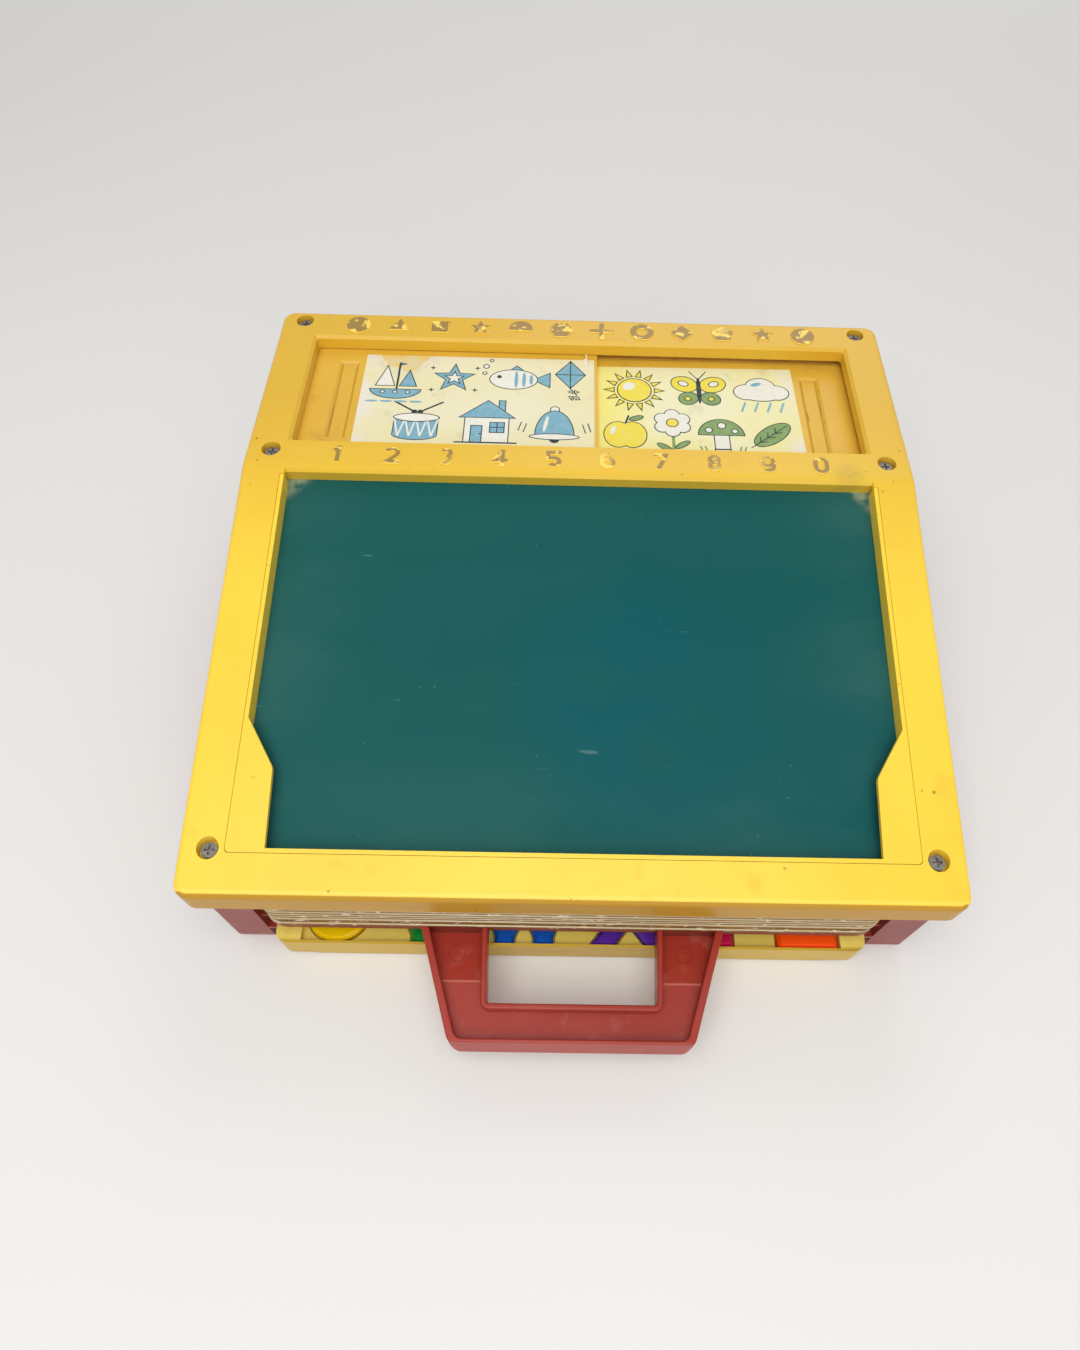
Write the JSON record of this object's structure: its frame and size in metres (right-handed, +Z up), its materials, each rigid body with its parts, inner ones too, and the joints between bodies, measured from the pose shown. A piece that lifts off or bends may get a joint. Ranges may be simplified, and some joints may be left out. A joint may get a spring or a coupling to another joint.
{
  "type": "toy school desk",
  "caption": "Toy school desk in moulded plastic: sloping chalkboard, sliding doors over a chalk bin, card shelf with a carrying handle, and a pull-out tray of magnetic letters.",
  "frame": {"origin": "on the surface the desk stands on, under the middle of its width and of its depth from the handle's tip to the back edge", "axes": "+X to the user's right, +Y from the user to the back of the desk, +Z up"},
  "size_m": [0.355, 0.3958, 0.1233],
  "materials": {
    "top_yellow": "moulded yellow plastic, worn on its raised edges",
    "bin_yellow": "moulded yellow plastic",
    "door_yellow": "moulded ochre yellow plastic",
    "label_paper": "printed paper, glued down",
    "board_green": "matt green chalkboard paint on steel sheet",
    "base_red": "moulded red plastic",
    "handle_red": "moulded red plastic",
    "screw_steel": "dull plated steel",
    "card_stock": "uncoated paperboard",
    "tray_cream": "thin formed pale yellow plastic",
    "letter_yellow": "moulded plastic",
    "letter_green": "moulded plastic",
    "letter_blue": "moulded plastic",
    "letter_purple": "moulded plastic",
    "letter_magenta": "moulded plastic",
    "letter_orange": "moulded plastic",
    "magnet_grey": "ferrite disc"
  },
  "bodies": {
    "desk": {"top_frame": "top_yellow", "card_guide": "top_yellow", "chalkboard": "board_green", "chalk_bin": "bin_yellow", "base_frame": "base_red", "handle_shelf": "handle_red", "case_screws": "screw_steel", "shelf_screws": "screw_steel"},
    "left_door": {"door_left": "door_yellow", "label_left": "label_paper"},
    "right_door": {"door_right": "door_yellow", "label_right": "label_paper"},
    "card_stack": {"stencil_card_01": "card_stock", "stencil_card_02": "card_stock", "stencil_card_03": "card_stock", "stencil_card_04": "card_stock", "stencil_card_05": "card_stock", "stencil_card_06": "card_stock", "stencil_card_07": "card_stock", "stencil_card_08": "card_stock", "stencil_card_09": "card_stock", "stencil_card_10": "card_stock", "stencil_card_11": "card_stock", "stencil_card_12": "card_stock", "stencil_card_13": "card_stock", "stencil_card_14": "card_stock", "stencil_card_15": "card_stock"},
    "top_card": {"stencil_card_16": "card_stock"},
    "tray": {"letter_tray": "tray_cream", "letter_magnets": "magnet_grey", "letter_a": "letter_magenta", "letter_b": "letter_orange", "letter_c": "letter_yellow", "letter_d": "letter_green", "letter_e": "letter_blue", "letter_f": "letter_purple", "letter_g": "letter_magenta", "letter_h": "letter_orange", "letter_i": "letter_yellow", "letter_j": "letter_green", "letter_k": "letter_blue", "letter_l": "letter_purple", "letter_m": "letter_magenta", "letter_n": "letter_orange", "letter_o": "letter_yellow", "letter_p": "letter_green", "letter_q": "letter_blue", "letter_r": "letter_purple", "letter_s": "letter_magenta", "letter_t": "letter_orange", "letter_u": "letter_yellow", "letter_v": "letter_green", "letter_w": "letter_blue", "letter_x": "letter_purple", "letter_y": "letter_magenta", "letter_z": "letter_orange"}
  },
  "joints": [
    {"name": "left_door_slide", "type": "slide", "parent": "desk", "child": "left_door", "axis": [1, 0, 0], "range_m": [0, 0.147]},
    {"name": "right_door_slide", "type": "slide", "parent": "desk", "child": "right_door", "axis": [1, 0, 0], "range_m": [-0.147, 0]},
    {"name": "tray_slide", "type": "slide", "parent": "desk", "child": "tray", "axis": [0, -1, 0], "range_m": [0, 0.19]},
    {"name": "card_stack_slide", "type": "slide", "parent": "desk", "child": "card_stack", "axis": [0, -1, 0], "range_m": [0, 0.17]},
    {"name": "top_card_slide", "type": "slide", "parent": "desk", "child": "top_card", "axis": [0, -1, 0], "range_m": [0, 0.17]}
  ]
}
